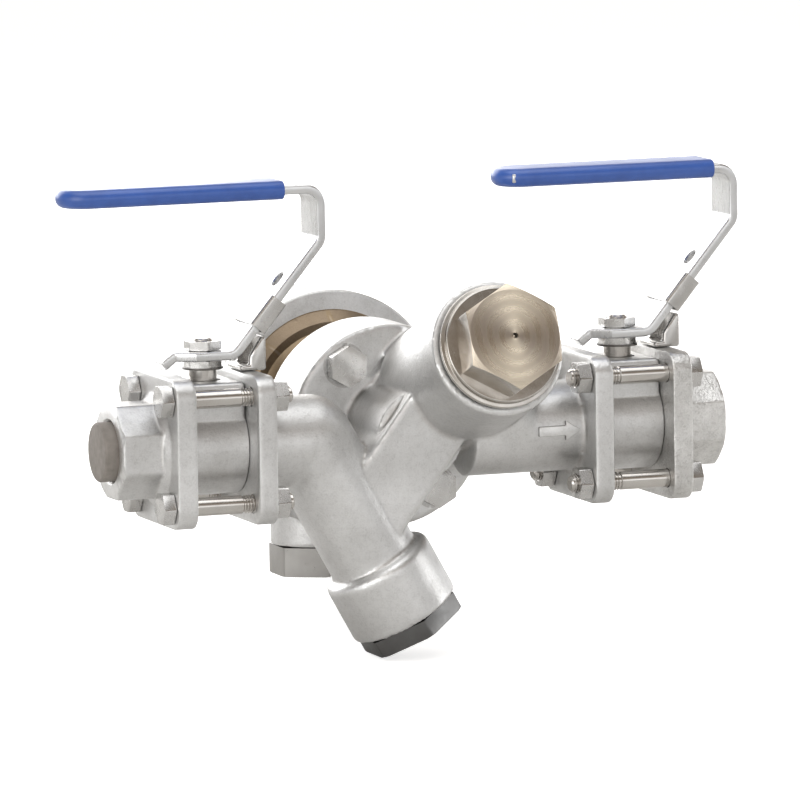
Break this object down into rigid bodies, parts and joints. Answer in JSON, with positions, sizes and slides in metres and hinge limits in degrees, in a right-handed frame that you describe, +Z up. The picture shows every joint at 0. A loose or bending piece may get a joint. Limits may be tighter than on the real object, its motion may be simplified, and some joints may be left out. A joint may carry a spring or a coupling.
{
  "type": "steam trapping station",
  "caption": "Stainless trapping station: isolating ball valves, strainer, check valve and float trap on one connector casting.",
  "frame": {"origin": "centre of the inlet face, on the axis of the pipe", "axes": "+X along the flow from the inlet to the outlet, +Y to the rear towards the trap drum, +Z up towards the levers"},
  "size_m": [0.3112, 0.2968, 0.2113],
  "materials": {
    "cast_steel": "satin, bead blasted casting",
    "turned_steel": "turned bright",
    "bolt_steel": "bright",
    "sheet_steel": "satin rolled",
    "dark_steel": "dark turned",
    "blue_vinyl": "soft satin",
    "grey_plastic": "matte",
    "seal_white": "matte",
    "graphite": "matte"
  },
  "bodies": {
    "station": {"inlet_end_cap": "cast_steel", "inlet_valve_body": "cast_steel", "inlet_seat_a": "seal_white", "inlet_seat_b": "seal_white", "inlet_stem_packing": "graphite", "inlet_lock_bracket": "sheet_steel", "inlet_tie_bolt_1": "bolt_steel", "inlet_tie_nut_1": "bolt_steel", "inlet_tie_bolt_2": "bolt_steel", "inlet_tie_nut_2": "bolt_steel", "inlet_tie_bolt_3": "bolt_steel", "inlet_tie_nut_3": "bolt_steel", "inlet_tie_bolt_4": "bolt_steel", "inlet_tie_nut_4": "bolt_steel", "outlet_end_cap": "cast_steel", "outlet_valve_body": "cast_steel", "outlet_seat_a": "seal_white", "outlet_seat_b": "seal_white", "outlet_stem_packing": "graphite", "outlet_lock_bracket": "sheet_steel", "outlet_tie_bolt_1": "bolt_steel", "outlet_tie_nut_1": "bolt_steel", "outlet_tie_bolt_2": "bolt_steel", "outlet_tie_nut_2": "bolt_steel", "outlet_tie_bolt_3": "bolt_steel", "outlet_tie_nut_3": "bolt_steel", "outlet_tie_bolt_4": "bolt_steel", "outlet_tie_nut_4": "bolt_steel", "inlet_port_plug": "grey_plastic", "connector_body": "cast_steel", "strainer_screen": "sheet_steel", "strainer_cap": "dark_steel", "strainer_gasket": "graphite", "check_cap": "turned_steel", "check_gasket": "graphite", "check_spring": "sheet_steel", "trap_flange_ring": "cast_steel", "trap_body": "cast_steel", "trap_cover": "cast_steel", "trap_gasket": "graphite", "connector_bolt_1": "bolt_steel", "connector_bolt_2": "bolt_steel", "trap_valve_seat": "turned_steel", "trap_bottom_cap": "turned_steel"},
    "inlet_lever_set": {"inlet_lever": "sheet_steel", "inlet_grip": "blue_vinyl", "inlet_lever_nut": "bolt_steel", "inlet_gland_nut": "bolt_steel", "inlet_stem": "turned_steel", "inlet_ball": "turned_steel"},
    "inlet_lock": {"inlet_lock_sleeve": "sheet_steel"},
    "outlet_lever_set": {"outlet_lever": "sheet_steel", "outlet_grip": "blue_vinyl", "outlet_lever_nut": "bolt_steel", "outlet_gland_nut": "bolt_steel", "outlet_stem": "turned_steel", "outlet_ball": "turned_steel"},
    "outlet_lock": {"outlet_lock_sleeve": "sheet_steel"},
    "check_disc": {"check_disc": "turned_steel"},
    "trap_float": {"trap_float": "sheet_steel"}
  },
  "joints": [
    {"name": "inlet_lever_turn", "type": "hinge", "parent": "station", "child": "inlet_lever_set", "pos_m": [0.04355, 0, 0.04], "axis": [0, 0, 1], "range_deg": [-90, 0]},
    {"name": "inlet_lock_slide", "type": "slide", "parent": "inlet_lever_set", "child": "inlet_lock", "axis": [0.6428, 0, 0.766], "range_m": [0, 0.02]},
    {"name": "outlet_lever_turn", "type": "hinge", "parent": "station", "child": "outlet_lever_set", "pos_m": [0.23605, 0, 0.04], "axis": [0, 0, 1], "range_deg": [-90, 0]},
    {"name": "outlet_lock_slide", "type": "slide", "parent": "outlet_lever_set", "child": "outlet_lock", "axis": [0.6428, 0, 0.766], "range_m": [0, 0.02]},
    {"name": "check_lift", "type": "slide", "parent": "station", "child": "check_disc", "axis": [0, -0.9397, 0.342], "range_m": [0, 0.006], "stiffness_N_per_m": 150, "springref_m": -0.004, "deforming": ["check_spring"]},
    {"name": "float_swing", "type": "hinge", "parent": "station", "child": "trap_float", "pos_m": [0.1398, 0.114, 0.014], "axis": [1, 0, 0], "range_deg": [0, 18]}
  ]
}
